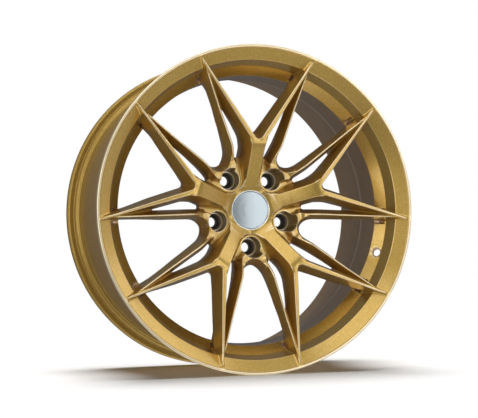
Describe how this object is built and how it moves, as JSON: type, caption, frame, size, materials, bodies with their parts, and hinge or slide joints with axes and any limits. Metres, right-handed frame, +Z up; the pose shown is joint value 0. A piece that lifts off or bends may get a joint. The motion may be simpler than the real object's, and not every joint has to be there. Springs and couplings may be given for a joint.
{
  "type": "forged racing wheel rim",
  "caption": "Deep-lipped gold forged wheel rim with forked tapering spokes over thin braces, countersunk bolt pockets, a drop-centre barrel and a pull-out centre cap.",
  "frame": {"origin": "on the axle, at the middle of the rim's overall width", "axes": "+Y along the axle towards the car, so the outer face looks towards -Y; +Z up"},
  "size_m": [0.4918, 0.244, 0.4918],
  "materials": {
    "gold_paint": "satin",
    "barrel_bronze": "satin",
    "cap_plastic": "matte",
    "cap_bright": "polished",
    "cap_satin": "satin",
    "spring_steel": "satin"
  },
  "bodies": {
    "wheel": {"rim_front_flange": "gold_paint", "rim_rear_flange": "gold_paint", "hub_pad": "gold_paint", "rim_front_bead_seat_1": "gold_paint", "rim_front_bead_seat_2": "gold_paint", "rim_front_bead_seat_3": "gold_paint", "rim_front_bead_seat_4": "gold_paint", "rim_front_bead_seat_5": "gold_paint", "rim_front_shoulder_1": "gold_paint", "rim_front_shoulder_2": "gold_paint", "rim_front_shoulder_3": "gold_paint", "rim_front_shoulder_4": "gold_paint", "rim_front_shoulder_5": "gold_paint", "rim_drop_centre_1": "barrel_bronze", "rim_drop_centre_2": "barrel_bronze", "rim_drop_centre_3": "barrel_bronze", "rim_drop_centre_4": "barrel_bronze", "rim_drop_centre_5": "barrel_bronze", "rim_barrel_1": "barrel_bronze", "rim_barrel_2": "barrel_bronze", "rim_barrel_3": "barrel_bronze", "rim_barrel_4": "barrel_bronze", "rim_barrel_5": "barrel_bronze", "rim_rear_bead_seat_1": "barrel_bronze", "rim_rear_bead_seat_2": "barrel_bronze", "rim_rear_bead_seat_3": "barrel_bronze", "rim_rear_bead_seat_4": "barrel_bronze", "rim_rear_bead_seat_5": "barrel_bronze", "spoke_1": "gold_paint", "spoke_2": "gold_paint", "spoke_3": "gold_paint", "spoke_4": "gold_paint", "spoke_5": "gold_paint", "brace_1_right": "gold_paint", "brace_1_left": "gold_paint", "brace_2_right": "gold_paint", "brace_2_left": "gold_paint", "brace_3_right": "gold_paint", "brace_3_left": "gold_paint", "brace_4_right": "gold_paint", "brace_4_left": "gold_paint", "brace_5_right": "gold_paint", "brace_5_left": "gold_paint"},
    "cap": {"cap_body": "cap_plastic", "cap_trim_ring": "cap_bright", "cap_disc": "cap_satin", "cap_spring_ring": "spring_steel"}
  },
  "joints": [
    {"name": "cap_pull", "type": "slide", "parent": "wheel", "child": "cap", "axis": [0, -1, 0], "range_m": [0, 0.05]}
  ]
}
